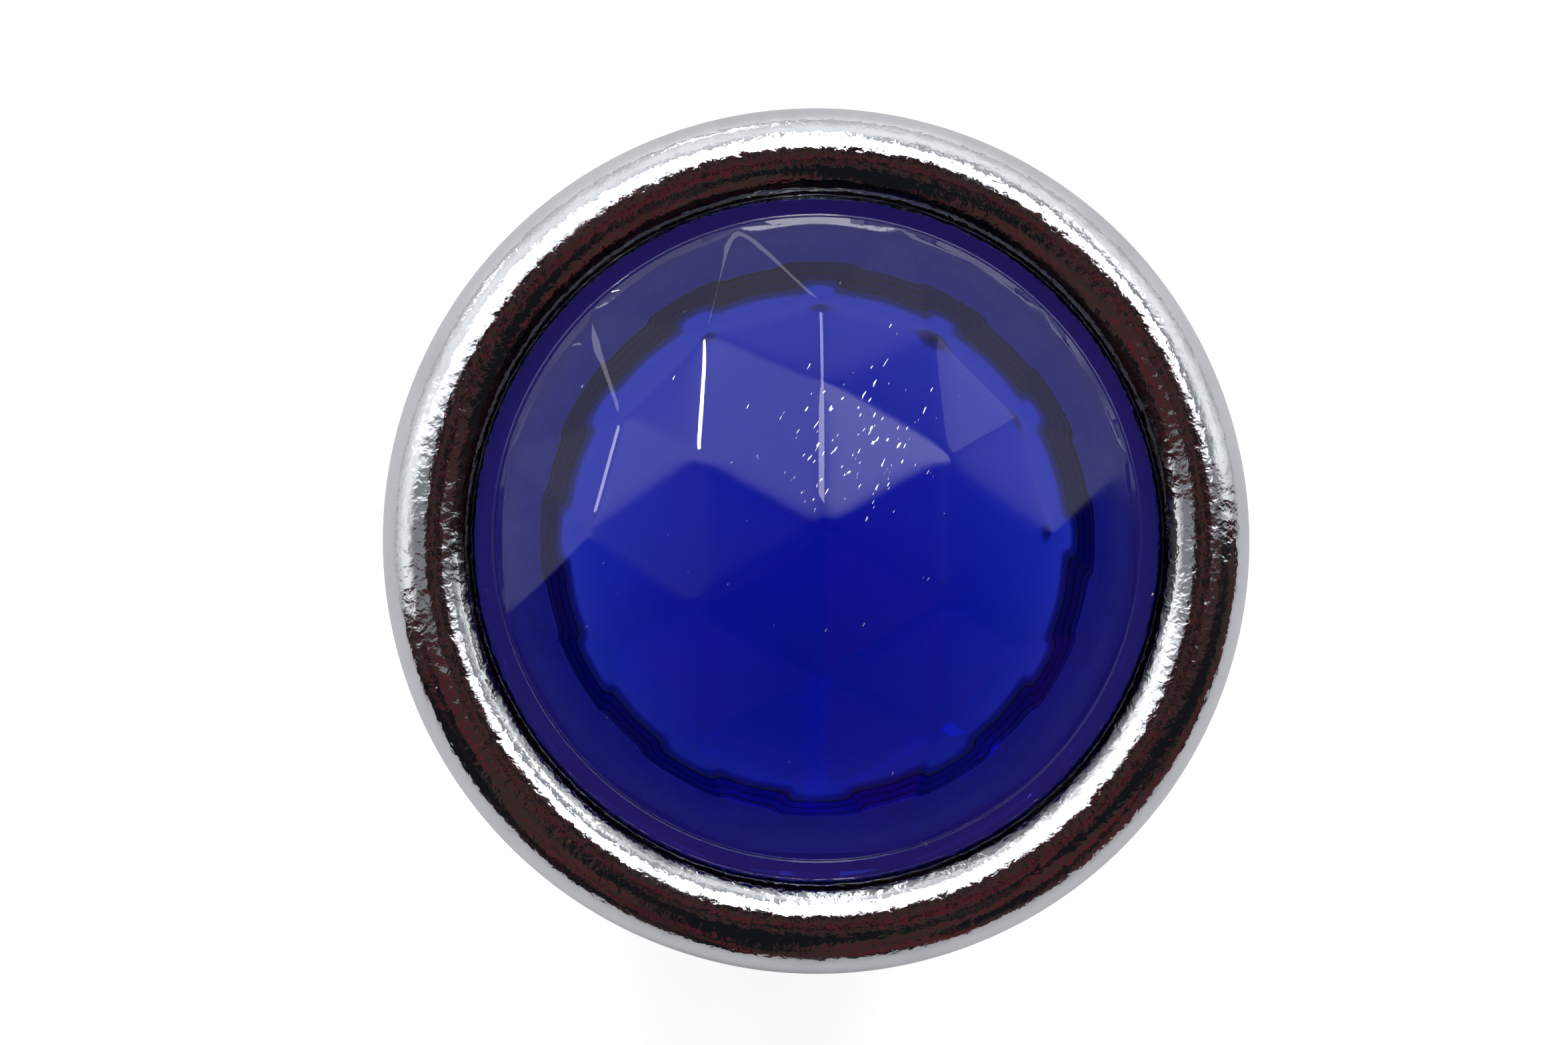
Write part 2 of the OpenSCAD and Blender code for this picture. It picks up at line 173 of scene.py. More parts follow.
def ring(radius, z, segments):
    """One row of a turned surface. Its last point repeats the first."""
    points = []
    for j in range(segments + 1):
        a = TURN * (j % segments) / segments
        points.append((radius * math.cos(a), radius * math.sin(a), z))
    return points


def turned(bm, outline, segments, closed=True):
    """Revolves an outline of (radius, z) points about the Z axis."""
    rows = [ring(r, z, segments) for r, z in outline]
    if closed:
        rows.append(rows[0])
    add_grid(bm, rows)


def thread_profile(phase):
    """Height of a rounded 60 degree thread, 0 at the core and 1 at the crest."""
    wave = 0.5 - 0.5 * math.cos(TURN * phase)
    return min(1.0, max(0.0, (wave - 0.12) / 0.76))


def thread_rows(size, bottom, top, segments, rows_per_turn=12, inside=False):
    """Rows that follow the thread's helix from bottom to top, and run out to a plain radius at both ends."""
    pitch = size["pitch"]
    plain, ridge = (size["crest"], size["core"]) if inside else (size["core"], size["crest"])
    fade = 0.55 * pitch
    turns = math.ceil((top - bottom) / pitch) + 1
    rows = []
    for i in range(turns * rows_per_turn + 1):
        row = []
        for j in range(segments + 1):
            lift = j / segments
            z = bottom + pitch * (i / rows_per_turn - 1 + lift)
            z = min(max(z, bottom), top)
            run_out = min(1.0, max(0.0, min(z - bottom, top - z) / fade))
            run_out = run_out * run_out * (3 - 2 * run_out)
            height = thread_profile(((z - bottom) / pitch - lift) % 1.0) * run_out
            radius = plain + (ridge - plain) * height
            a = TURN * (j % segments) / segments
            row.append((radius * math.cos(a), radius * math.sin(a), z))
        rows.append(row)
    return rows


def lathe_piece(name, corners, body, material, node, segments=128, cut=0.08):
    """A turned piece from its outline's corners, in place of one node."""
    bm = bmesh.new()
    turned(bm, softened(corners, cut), segments)
    return finish_mesh(name, bm, body, material, (node,))


def swept(bm, path, radius, sides=12):
    """A round wire along a path of points, with ends rounded over."""
    points = [Vector(p) for p in path]
    tangents = []
    for i in range(len(points)):
        tangents.append((points[min(i + 1, len(points) - 1)] - points[max(i - 1, 0)]).normalized())
    side = tangents[0].orthogonal().normalized()
    rows = []
    for i, (point, tangent) in enumerate(zip(points, tangents)):
        side = (side - tangent * side.dot(tangent)).normalized()
        other = tangent.cross(side)
        row = []
        for k in range(sides + 1):
            a = TURN * (k % sides) / sides
            row.append(tuple(point + radius * (math.cos(a) * side + math.sin(a) * other)))
        rows.append(row)
        if i in (0, len(points) - 1):
            outward = -tangent if i == 0 else tangent
            dome = []
            for step in (30, 60, 90):
                lean = math.radians(step)
                centre = point + outward * radius * 0.6 * math.sin(lean)
                dome.append([
                    tuple(centre + (Vector(p) - point) * math.cos(lean) * (1 if step < 90 else 0))
                    for p in rows[-1]
                ])
            rows = list(reversed(dome)) + rows if i == 0 else rows + dome
    add_grid(bm, rows)


# ---------------------------------------------------------------------------
# Materials
# ---------------------------------------------------------------------------
def add(tree, kind, settings=None, **sockets):
    """A shader node. A socket takes a constant or another node's output; _0 and so on go by number."""
    node = tree.nodes.new("ShaderNode" + kind)
    for key, value in (settings or {}).items():
        setattr(node, key, value)
    for key, value in sockets.items():
        wanted = key.replace("_", " ").strip()
        socket = next((s for s in node.inputs if s.name == wanted and s.enabled), None)
        if socket is None:
            socket = node.inputs[int(key[1:])]
        if isinstance(value, bpy.types.NodeSocket):
            tree.links.new(value, socket)
        else:
            socket.default_value = value
    return node


def blank(name):
    """A new material with its tree, its Principled shader and the object coordinates."""
    material = bpy.data.materials.new(name)
    material.use_nodes = True
    tree = material.node_tree
    shader = tree.nodes["Principled BSDF"]
    where = tree.nodes.new("ShaderNodeTexCoord").outputs["Object"]
    return material, tree, shader, where


def speckle(tree, where, scale, detail=3.0, rough=0.55, distortion=0.0):
    """A noise value from 0 to 1. scale is in features per metre."""
    node = add(tree, "TexNoise", Vector=where, Scale=scale, Detail=detail, Roughness=rough,
               Distortion=distortion)
    return node.outputs["Fac"]


def between(tree, value, low, high, out_low, out_high):
    """Maps value from low..high to out_low..out_high, without passing either end."""
    node = add(tree, "MapRange", {"interpolation_type": "SMOOTHSTEP"}, Value=value, From_Min=low,
               From_Max=high, To_Min=out_low, To_Max=out_high)
    return node.outputs["Result"]


def mixed(tree, factor, first, second):
    """Mixes two colours by a factor."""
    node = tree.nodes.new("ShaderNodeMix")
    node.data_type = "RGBA"
    for index, value in ((0, factor), (6, first), (7, second)):
        if isinstance(value, bpy.types.NodeSocket):
            tree.links.new(value, node.inputs[index])
        else:
            node.inputs[index].default_value = value
    return node.outputs[2]


def bumped(tree, height, distance, normal=None, strength=1.0):
    """A bump of that depth in metres, on top of another if one is given."""
    node = add(tree, "Bump", Height=height, Distance=distance, Strength=strength)
    if normal is not None:
        tree.links.new(normal, node.inputs["Normal"])
    return node.outputs["Normal"]


def off_axis(tree, where):
    """The distance from the Z axis and the height, in metres."""
    split = add(tree, "SeparateXYZ", Vector=where)
    flat = add(tree, "CombineXYZ", X=split.outputs["X"], Y=split.outputs["Y"], Z=0.0)
    radius = add(tree, "VectorMath", {"operation": "LENGTH"}, Vector=flat.outputs["Vector"])
    return radius.outputs["Value"], split.outputs["Z"]


def lathe_marks(tree, where, scale):
    """Fine lines that run round the Z axis, on faces and on cylinders."""
    radius, height = off_axis(tree, where)
    along = add(tree, "CombineXYZ", X=radius, Y=height, Z=0.0)
    return speckle(tree, along.outputs["Vector"], scale, 2.0)


def metal(name, colour, stain, roughness, stain_level=0.55, grain=2500, grain_depth=2e-6, marks=0.0,
          pits=0.0):
    """A metal with stains, uneven gloss and fine grain, and with lathe marks or pits if it has them."""
    material, tree, shader, where = blank(name)
    patches = speckle(tree, where, 220, 5.0, 0.6)
    fine = speckle(tree, where, grain, 3.0)
    stained = between(tree, patches, stain_level - 0.08, stain_level + 0.18, 0.0, 1.0)
    tree.links.new(mixed(tree, stained, (*colour, 1), (*stain, 1)), shader.inputs["Base Color"])
    low, high = roughness
    gloss = add(tree, "Math", {"operation": "MULTIPLY_ADD"}, _0=fine, _1=high - low, _2=low)
    uneven = add(tree, "Math", {"operation": "MULTIPLY_ADD"}, _0=stained, _1=0.12, _2=gloss.outputs["Value"])
    tree.links.new(uneven.outputs["Value"], shader.inputs["Roughness"])
    normal = bumped(tree, fine, grain_depth)
    if marks:
        normal = bumped(tree, lathe_marks(tree, where, 9000), marks, normal)
    if pits:
        cells = add(tree, "TexVoronoi", Vector=where, Scale=900.0)
        hole = between(tree, cells.outputs["Distance"], 0.03, 0.10, 0.0, 1.0)
        normal = bumped(tree, hole, pits, normal)
    tree.links.new(normal, shader.inputs["Normal"])
    shader.inputs["Metallic"].default_value = 1.0
    return material


def nickel(name):
    """Turned and nickel-plated brass, a little yellowed."""
    return metal(name, (0.72, 0.68, 0.60), (0.50, 0.43, 0.33), (0.14, 0.26), marks=3e-6)


def mouth_material():
    """The bushing's nickel, blasted matt on the steps in its mouth, with painted shade: a black line at each
    step's corner.
    """
    material = nickel("nickel_mouth_painted_shade")
    tree = material.node_tree
    shader = tree.nodes["Principled BSDF"]
    where = tree.nodes.new("ShaderNodeTexCoord").outputs["Object"]
    radius, height = off_axis(tree, where)
    front = between(tree, height, 0.0031, 0.0033, 0.0, 1.0)
    edge = (MOUTH_STEPS[-1] + 0.1) * MM
    inner = between(tree, radius, edge, edge + 0.1 * MM, 1.0, 0.0)
    matt = add(tree, "Math", {"operation": "MULTIPLY"}, _0=front, _1=inner).outputs["Value"]
    bright = shader.inputs["Base Color"].links[0].from_socket
    colour = mixed(tree, matt, bright, (0.62, 0.58, 0.56, 1))
    tree.links.new(between(tree, matt, 0.0, 1.0, 1.0, 0.1), shader.inputs["Metallic"])
    # Painted shade: a black line round the corner of each step, where the step's wall would shade it.
    for step in MOUTH_STEPS:
        shade_ring = add(tree, "Math", {"operation": "COMPARE"}, _0=radius, _1=step * MM, _2=0.04 * MM)
        dark = add(tree, "Math", {"operation": "MULTIPLY"}, _0=shade_ring.outputs["Value"], _1=front)
        colour = mixed(tree, dark.outputs["Value"], colour, (0.004, 0.004, 0.004, 1))
    tree.links.new(colour, shader.inputs["Base Color"])
    return material


def chrome_material():
    """Bright chrome over brass: an orange-peel skin that fades out down the cap's wall, pits and a haze."""
    material, tree, shader, where = blank("chrome_plate")
    peel = speckle(tree, where, 3300, 2.0, 0.5, 0.3)
    broad = speckle(tree, where, 700, 2.0)
    haze = speckle(tree, where, 260, 5.0, 0.65)
    dulled = between(tree, haze, 0.45, 0.75, 0.0, 1.0)
    tint = mixed(tree, dulled, (0.82, 0.84, 0.86, 1), (0.70, 0.71, 0.72, 1))
    tree.links.new(tint, shader.inputs["Base Color"])
    tree.links.new(between(tree, haze, 0.35, 0.75, 0.045, 0.14), shader.inputs["Roughness"])
    cells = add(tree, "TexVoronoi", Vector=where, Scale=1500.0)
    pit = between(tree, cells.outputs["Distance"], 0.02, 0.09, 0.0, 1.0)
    height = off_axis(tree, where)[1]
    rough_skin = between(tree, height, 0.0062, 0.0085, 0.05, 1.0)
    normal = bumped(tree, broad, 2.5e-5, strength=rough_skin)
    normal = bumped(tree, peel, 2.5e-5, normal, rough_skin)
    normal = bumped(tree, pit, 3e-6, normal)
    tree.links.new(normal, shader.inputs["Normal"])
    shader.inputs["Metallic"].default_value = 1.0
    return material


def glass_material(name, ior, wave, wave_scale, roughness):
    """Clear glass with a slightly wavy pressed or blown skin and a trace of handling marks."""
    material, tree, shader, where = blank(name)
    shader.inputs["Transmission Weight"].default_value = 1.0
    shader.inputs["IOR"].default_value = ior
    shader.inputs["Base Color"].default_value = (1, 1, 1, 1)
    low, high = roughness
    smears = speckle(tree, where, 400, 5.0, 0.6)
    tree.links.new(between(tree, smears, 0.5, 0.75, low, high), shader.inputs["Roughness"])
    tree.links.new(bumped(tree, speckle(tree, where, wave_scale, 2.0), wave), shader.inputs["Normal"])
    return material, tree, shader, where


def blue_glass_material():
    """Pressed cobalt glass: soaks up red and green with depth, and has flecks where its top is worn."""
    material, tree, shader, where = glass_material("blue_glass", 1.52, 5e-6, 380, (0.01, 0.05))
    soak = add(tree, "VolumeAbsorption", Color=(0.15, 0.29, 0.85, 1), Density=1000.0)
    tree.links.new(soak.outputs["Volume"], tree.nodes["Material Output"].inputs["Volume"])
    leaning = add(tree, "Mapping", Vector=where, Rotation=(0, 0, math.radians(28)))
    stretched = add(tree, "Mapping", Vector=leaning.outputs["Vector"], Scale=(11000, 2600, 900))
    streaks = add(tree, "TexNoise", Vector=stretched.outputs["Vector"], Scale=1.0, Detail=1.0).outputs["Fac"]
    worn_spot = (0.0010, 0.0026, 0.0116)
    away = add(tree, "VectorMath", {"operation": "DISTANCE"}, _0=where, _1=worn_spot).outputs["Value"]
    worn = between(tree, away, 0.0010, 0.0045, 0.11, 0.0)
    raised = add(tree, "Math", {"operation": "ADD"}, _0=streaks, _1=worn).outputs["Value"]
    scratch = between(tree, raised, 0.80, 0.84, 0.0, 1.0)
    tree.links.new(scratch, shader.inputs["Metallic"])
    smears = shader.inputs["Roughness"].links[0].from_socket
    dull = add(tree, "Math", {"operation": "MULTIPLY_ADD"}, _0=scratch, _1=0.4, _2=smears)
    tree.links.new(dull.outputs["Value"], shader.inputs["Roughness"])
    wave = shader.inputs["Normal"].links[0].from_socket
    tree.links.new(bumped(tree, scratch, -4e-6, wave), shader.inputs["Normal"])
    return material


def fibre_material():
    """Red vulcanised fibre with pressed paper streaks."""
    material, tree, shader, where = blank("red_fibre")
    stretched = add(tree, "Mapping", Vector=where, Scale=(900, 3800, 3800)).outputs["Vector"]
    strands = add(tree, "TexNoise", Vector=stretched, Scale=1.0, Detail=6.0).outputs["Fac"]
    pale = between(tree, strands, 0.35, 0.7, 0.0, 1.0)
    colour = mixed(tree, pale, (0.20, 0.022, 0.012, 1), (0.36, 0.06, 0.032, 1))
    tree.links.new(colour, shader.inputs["Base Color"])
    tree.links.new(between(tree, strands, 0.3, 0.7, 0.48, 0.72), shader.inputs["Roughness"])
    tree.links.new(bumped(tree, strands, 1.5e-5), shader.inputs["Normal"])
    return material


def rubber_material():
    """Pale silicone rubber with a dusty bloom and a painted glow, with painted shade outside the foot of the
    jewel: darker colour and a dimmer glow there.
    """
    material, tree, shader, where = blank("pale_rubber")
    bloom = speckle(tree, where, 900, 6.0, 0.7)
    dusty = between(tree, bloom, 0.4, 0.8, 0.0, 1.0)
    colour = mixed(tree, dusty, (0.80, 0.79, 0.76, 1), (0.62, 0.60, 0.55, 1))
    tree.links.new(between(tree, bloom, 0.3, 0.8, 0.45, 0.7), shader.inputs["Roughness"])
    shader.inputs["Subsurface Weight"].default_value = 0.3
    shader.inputs["Subsurface Scale"].default_value = 0.0008
    # Painted shade: darker colour beyond the foot of the jewel.
    radius, _ = off_axis(tree, where)
    outward = between(tree, radius, 0.0080, 0.0090, 0.0, 1.0)
    colour = mixed(tree, outward, colour, (0.46, 0.42, 0.46, 1))
    tree.links.new(colour, shader.inputs["Base Color"])
    # Painted glow: the gasket glows though it is no lamp, dimmer and more violet outside the foot of the
    # jewel.
    painted_rubber_glow = mixed(tree, outward, (0.95, 0.60, 1.0, 1), (0.50, 0.24, 0.85, 1))
    tree.links.new(painted_rubber_glow, shader.inputs["Emission Color"])
    shader.inputs["Emission Strength"].default_value = RUBBER_PAINTED_GLOW
    tree.links.new(bumped(tree, speckle(tree, where, 6000, 3.0), 6e-6), shader.inputs["Normal"])
    return material


def opal_material():
    """Milky white glass, a little uneven, with a painted glow in place of light from behind, and painted
    shade on its -Y side and at its rim.
    """
    material, tree, shader, where = blank("opal_glass")
    cloud = speckle(tree, where, 300, 4.0)
    milky = between(tree, cloud, 0.35, 0.7, 0.0, 1.0)
    colour = mixed(tree, milky, (0.93, 0.93, 0.92, 1), (0.84, 0.85, 0.86, 1))
    tree.links.new(colour, shader.inputs["Base Color"])
    tree.links.new(between(tree, cloud, 0.3, 0.7, 0.18, 0.3), shader.inputs["Roughness"])
    shader.inputs["Subsurface Weight"].default_value = 0.4
    shader.inputs["Subsurface Scale"].default_value = 0.001
    # Painted light: the glow is brighter towards +Y, and painted shade makes it dark at the rim.
    across = add(tree, "SeparateXYZ", Vector=where).outputs["Y"]
    lit = between(tree, across, -0.0062, 0.0020, 0.0, 1.0)
    painted_opal_glow = mixed(tree, lit, (0.30, 0.32, 0.34, 1), (0.95, 0.98, 1.0, 1))
    radius, _ = off_axis(tree, where)
    rim = between(tree, radius, 0.00560, 0.00578, 0.0, 1.0)
    tree.links.new(mixed(tree, rim, painted_opal_glow, (0.10, 0.11, 0.12, 1)), shader.inputs["Emission Color"])
    shader.inputs["Emission Strength"].default_value = OPAL_PAINTED_GLOW
    return material


def black_glass_material():
    """The lamp's black bottom insulator, poured and a little lumpy."""
    material, tree, shader, where = blank("black_glass")
    swirl = speckle(tree, where, 1200, 4.0)
    colour = mixed(tree, swirl, (0.006, 0.006, 0.010, 1), (0.03, 0.028, 0.032, 1))
    tree.links.new(colour, shader.inputs["Base Color"])
    tree.links.new(between(tree, swirl, 0.3, 0.7, 0.06, 0.18), shader.inputs["Roughness"])
    tree.links.new(bumped(tree, swirl, 1.2e-5), shader.inputs["Normal"])
    return material


MATERIALS = {
    "chrome_plate": chrome_material(),
    "blue_glass": blue_glass_material(),
    "opal_glass": opal_material(),
    "pale_rubber": rubber_material(),
    "red_fibre": fibre_material(),
    "black_glass": black_glass_material(),
    "clear_glass": glass_material("clear_glass", 1.5, 3e-6, 500, (0.0, 0.03))[0],
    "nickel_plate": nickel("nickel_plate"),
    "nickel_mouth_painted_shade": mouth_material(),
    "plated_steel": metal("plated_steel", (0.62, 0.64, 0.66), (0.44, 0.45, 0.45), (0.22, 0.42),
                          grain=1800, grain_depth=5e-6, stain_level=0.5),
    "spring_steel": metal("spring_steel", (0.40, 0.39, 0.38), (0.22, 0.17, 0.13), (0.18, 0.32), pits=3e-6),
    "bare_brass": metal("bare_brass", (0.76, 0.55, 0.25), (0.36, 0.21, 0.09), (0.20, 0.36), marks=2.5e-6),
    "tinned_brass": metal("tinned_brass", (0.78, 0.77, 0.74), (0.58, 0.52, 0.42), (0.24, 0.40),
                          grain=1400, grain_depth=8e-6),
    "solder": metal("solder", (0.66, 0.66, 0.68), (0.34, 0.33, 0.33), (0.24, 0.45), grain=1500,
                    grain_depth=2.5e-5),
    "lead_wire": metal("lead_wire", (0.46, 0.43, 0.41), (0.30, 0.20, 0.15), (0.25, 0.42), grain=6000),
}


# ---------------------------------------------------------------------------
# Cap: bezel, jewel, snap ring
# ---------------------------------------------------------------------------
def build_bezel():
    """The bead and the cap's wall, its thread inside, and the groove that the snap ring sits in."""
    outer, bottom, top = reach("bezel")
    bead = (outer - BEAD_RADIUS, top - BEAD_RADIUS)
    lip = math.degrees(math.asin((LIP_HEIGHT - bead[1]) / BEAD_RADIUS))
    foot = math.degrees(math.acos((CAP_WALL_RADIUS - bead[0]) / BEAD_RADIUS))
    bm = bmesh.new()
    segments = 288
    relief = CAP_THREAD["crest"]
    over_bead = arc(bead, BEAD_RADIUS, 180 - lip, -foot, 64)
    skirt = [(CAP_WALL_RADIUS, 5.2), (CAP_WALL_RADIUS, 3.5), (CAP_WALL_RADIUS, 2.0)]
    edge = softened([(CAP_WALL_RADIUS, bottom + 0.5, 0), (CAP_WALL_RADIUS, bottom, 0.2),
                     (11.5, bottom, 0.12), (relief, bottom + 0.3, 0.05), (relief, bottom + 0.35, 0)])
    turned(bm, over_bead + skirt + edge, segments, closed=False)
    add_grid(bm, [ring(edge[-1][0], edge[-1][1], segments)]
             + thread_rows(CAP_THREAD, bottom + 0.35, CAP_THREAD_TOP, segments, inside=True))
    pocket = [(relief, CAP_THREAD_TOP), (CAP_BORE_RADIUS, 4.62), (CAP_BORE_RADIUS, 4.7)]
    pocket += arc((SNAP_RING_RADIUS, 5.05), SNAP_RING_WIRE + 0.05, -64.6, 64.6, 12)
    pocket += [(CAP_BORE_RADIUS, 5.6), (CAP_BORE_RADIUS, LIP_HEIGHT), over_bead[0]]
    turned(bm, pocket, segments, closed=False)
    return finish_mesh("bezel_chrome", bm, "cap", "chrome_plate", ("bezel",))


def facet_corners():
    """The jewel's rings of corners and its tip."""
    def circle(count, radius, z, first):
        angles = [first + TURN * k / count for k in range(count)]
        return [Vector((radius * math.cos(a), radius * math.sin(a), z)) for a in angles]

    foot = circle(12, FOOT_RADIUS, FOOT_Z, math.radians(15))
    belt = circle(12, BELT_RADIUS, BELT_Z, 0)
    crown = circle(6, CROWN_RADIUS, CROWN_Z, math.radians(90))
    return foot, belt, crown, Vector((0, 0, reach("jewel")[2]))


def facets():
    """The jewel's 48 facets as triangles of corners."""
    foot, belt, crown, tip = facet_corners()
    found = []
    for k in range(12):
        found.append((foot[k - 1], foot[k], belt[k]))
        found.append((foot[k], belt[(k + 1) % 12], belt[k]))
    for k in range(6):
        middle = (3 + 2 * k) % 12
        for step in (-1, 0):
            found.append((belt[(middle + step) % 12], belt[(middle + step + 1) % 12], crown[k]))
        found.append((crown[k], belt[(middle + 1) % 12], crown[(k + 1) % 6]))
        found.append((crown[k], crown[(k + 1) % 6], tip))
    return found


def planes(triangles):
    """Each facet's height as (slope in x, slope in y, height over the axis)."""
    found = []
    for a, b, c in triangles:
        n = (b - a).cross(c - a)
        found.append((-n.x / n.z, -n.y / n.z, a.z + (n.x * a.x + n.y * a.y) / n.z))
    return found


def rounded_height(point, faces):
    """The lowest of the facet planes at a point, blended where they meet, so that edges come out round."""
    heights = [sx * point.x + sy * point.y + h for sx, sy, h in faces]
    low = min(heights)
    return low - math.log(sum(math.exp(-EDGE_SHARPNESS * (h - low)) for h in heights)) / EDGE_SHARPNESS


def crowded(t):
    """Crowds steps towards both ends of a facet's side, where its edges are."""
    return t - 0.14 * math.sin(TURN * t)


def bulged(point):
    """Moves a point near the foot outward, to halfway from the straight chord to the circle."""
    radius, angle = math.hypot(point.x, point.y), math.atan2(point.y, point.x)
    flat = FOOT_RADIUS * math.cos(math.radians(15))
    share = min(1.0, max(0.0, (radius - BELT_RADIUS) / (flat - BELT_RADIUS)))
    off_corner = (math.degrees(angle) + 720) % 30 - 15
    chord = math.cos(math.radians(15)) / math.cos(math.radians(15 - abs(off_corner)))
    reach_out = 1 + 0.5 * (1 / chord - 1) * share * share
    return Vector((point.x * reach_out, point.y * reach_out, point.z))


def build_jewel():
    """The facets in fine steps, then the foot's step, the flange and the flat back, all one closed skin."""
    flange, back, _ = reach("jewel")
    triangles = facets()
    faces = planes(triangles)
    bm = bmesh.new()
    steps = FACET_STEPS
    for a, b, c in triangles:
        rows = []
        for i in range(steps + 1):
            row = []
            for j in range(steps + 1 - i):
                share = [crowded((steps - i - j) / steps), crowded(j / steps), crowded(i / steps)]
                total = sum(share)
                p = (a * share[0] + b * share[1] + c * share[2]) / total
                ripple = 0.004 * noise.noise(p * 0.55)
                z = rounded_height(p, faces) + ripple
                p = bulged(p)
                row.append(bm.verts.new((p.x, p.y, z)))
            rows.append(row)
        for lower, upper in zip(rows, rows[1:]):
            for j in range(len(upper)):
                bm.faces.new((lower[j], lower[j + 1], upper[j]))
                if j + 1 < len(upper):
                    bm.faces.new((lower[j + 1], upper[j + 1], upper[j]))
    bmesh.ops.remove_doubles(bm, verts=bm.verts, dist=2e-4)
    rim = [v.co.copy() for v in bm.verts if v.is_boundary]
    rim.sort(key=lambda p: math.atan2(p.y, p.x))
    rim.append(rim[0])
    angles = [math.atan2(p.y, p.x) for p in rim]
    wall = FOOT_RADIUS + 0.04
    profile = softened([(FOOT_RADIUS - 0.02, FOOT_Z, 0), (wall, FOOT_Z - 0.05, 0.05),
                        (wall + 0.03, LIP_HEIGHT, 0.10), (flange, LIP_HEIGHT, 0.12),
                        (flange, back, 0.22), (0.0, back, 0)])[1:]
    rows = [rim]
    for radius, z in profile:
        rows.append([Vector((radius * math.cos(a), radius * math.sin(a), z)) for a in angles])
    add_grid(bm, rows)
    return finish_mesh("jewel_glass", bm, "cap", "blue_glass", ("jewel",), sharp=30, weighted=False)


def build_snap_ring():
    z = sum(reach("snap_ring")[1:]) / 2
    path = []
    for k in range(145):
        a = math.radians(96 + 348 * k / 144)
        path.append((SNAP_RING_RADIUS * math.cos(a), SNAP_RING_RADIUS * math.sin(a), z))
    bm = bmesh.new()
    swept(bm, path, SNAP_RING_WIRE, 14)
    return finish_mesh("snap_ring_wire", bm, "cap", "spring_steel", ("snap_ring",), weighted=False)


# ---------------------------------------------------------------------------
# Bushing, mounting nut and lock washer
# ---------------------------------------------------------------------------
def build_bushing():
    """The stepped mouth, the thread for the cap, the flange, the neck, the barrel's thread and the bore."""
    flange, bottom, top = reach("bushing")
    bm = bmesh.new()
    segments = 240
    boss, barrel = BOSS_THREAD["core"], BARREL_THREAD["core"]
    seat = reach("diffuser")[0] + 0.08
    steps = [(seat, LIP_TOP, 0)]
    for k, radius in enumerate(MOUTH_STEPS):
        height = top - 0.2 * (len(MOUTH_STEPS) - 1 - k)
        steps += [(radius, height, 0.03)]
        if radius != MOUTH_STEPS[-1]:
            steps += [(MOUTH_STEPS[k + 1], height, 0.02)]
    front = softened(steps + [(boss, top, 0.14), (boss, top - 0.3, 0)])
    turned(bm, front, segments, closed=False)
    add_grid(bm, list(reversed(thread_rows(BOSS_THREAD, BOSS_FOOT, top - 0.3, segments))))
    flange_top, neck, neck_end = 1.15, 8.65, -1.1
    shoulder = softened([(boss, BOSS_FOOT, 0), (boss, flange_top, 0.1), (flange, flange_top, 0.22),
                         (flange, 0, 0.12), (neck, 0, 0.05), (neck, neck_end + 0.05, 0.05),
                         (barrel, neck_end, 0)], 0.08)
    turned(bm, shoulder, segments, closed=False)
    add_grid(bm, list(reversed(thread_rows(BARREL_THREAD, bottom + 0.3, neck_end, segments))))
    bore, groove, mouth, lip_foot = 7.5, 7.75, 7.45, 2.3
    inside = softened([(barrel, bottom + 0.3, 0), (barrel, bottom, 0.18), (mouth, bottom, 0.06),
                       (mouth, bottom + 0.2, 0.04), (groove, bottom + 0.2, 0.04),
                       (groove, bottom + 1.0, 0.04), (bore, bottom + 1.0, 0.05), (bore, lip_foot, 0.15),
                       (LIP_BORE, lip_foot, 0.08), (LIP_BORE, LIP_TOP, 0.08), (seat, LIP_TOP, 0)], 0.06)
    turned(bm, inside, segments, closed=False)
    piece = finish_mesh("bushing_nickel", bm, "housing", "nickel_plate", ("bushing",))
    piece.data.materials[0] = MATERIALS["nickel_mouth_painted_shade"]
    return piece


def build_nut():
    _, bottom, top = reach("mounting_nut")
    half_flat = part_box("mounting_nut")[1].y / MM
    bore = NUT_THREAD["crest"]
    segments = 240
    bm = bmesh.new()
    add_grid(bm, thread_rows(NUT_THREAD, bottom + 0.25, top - 0.25, segments, inside=True))

    def hexagon(grow, z, chamfer=None):
        row = []
        for j in range(segments + 1):
            a = TURN * (j % segments) / segments
            off = (math.degrees(a) + 30) % 60 - 30
            side = half_flat / math.cos(math.radians(30 - abs(off)))
            radius = side + grow
            height = z
            if chamfer is not None:
                height = z + max(0.0, side - chamfer) * math.tan(math.radians(30))
            row.append((radius * math.cos(a), radius * math.sin(a), height))
        return row

    rows = [ring(bore, top - 0.25, segments), ring(bore + 0.05, top - 0.18, segments),
            ring(bore + 0.22, top - 0.02, segments), ring(bore + 0.30, top, segments),
            ring(half_flat - 0.5, top, segments), hexagon(-0.10, top), hexagon(-0.03, top - 0.03),
            hexagon(0, top - 0.10), hexagon(0, bottom + 0.09, half_flat - 0.25),
            hexagon(-0.03, bottom + 0.02, half_flat - 0.25)]
    rows += [ring(half_flat - 0.25, bottom + 0.02, segments), ring(half_flat - 0.40, bottom, segments),
             ring(bore + 0.30, bottom, segments), ring(bore + 0.22, bottom + 0.02, segments),
             ring(bore + 0.05, bottom + 0.18, segments), ring(bore, bottom + 0.25, segments)]
    add_grid(bm, rows)
    return finish_mesh("nut_nickel", bm, "nut", "nickel_plate", ("mounting_nut",))


